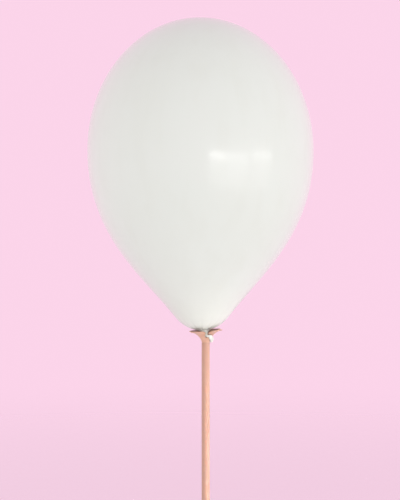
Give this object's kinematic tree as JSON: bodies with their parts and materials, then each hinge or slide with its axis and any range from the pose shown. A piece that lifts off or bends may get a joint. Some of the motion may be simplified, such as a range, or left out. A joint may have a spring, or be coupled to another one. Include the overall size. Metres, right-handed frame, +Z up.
{
  "type": "balloon on a stick",
  "caption": "Inflated latex balloon held by its neck in a petalled cup that plugs into a tubular stick.",
  "frame": {"origin": "centre of the stick's lower end, where a hand or a stand holds it", "axes": "+Z up along the stick, -Y the front, +X to the right seen from the front"},
  "size_m": [0.2504, 0.2504, 0.7596],
  "materials": {
    "latex": "gloss",
    "cup_plastic": "satin",
    "stick_plastic": "satin"
  },
  "bodies": {
    "stick": {"stick": "stick_plastic"},
    "cup": {"cup": "cup_plastic", "balloon_tail": "latex"},
    "neck": {"balloon_neck": "latex"},
    "balloon": {"balloon_body": "latex"}
  },
  "joints": [
    {"name": "cup_pull", "type": "slide", "parent": "stick", "child": "cup", "axis": [0, 0, 1], "range_m": [0, 0.022]},
    {"name": "neck_nod", "type": "hinge", "parent": "cup", "child": "neck", "pos_m": [0, 0, 0.40955], "axis": [1, 0, 0], "range_deg": [-9, 9], "stiffness_Nm_per_rad": 0.15},
    {"name": "neck_sway", "type": "hinge", "parent": "neck", "child": "balloon", "pos_m": [0, 0, 0.40955], "axis": [0, 1, 0], "range_deg": [-9, 9], "stiffness_Nm_per_rad": 0.15}
  ]
}
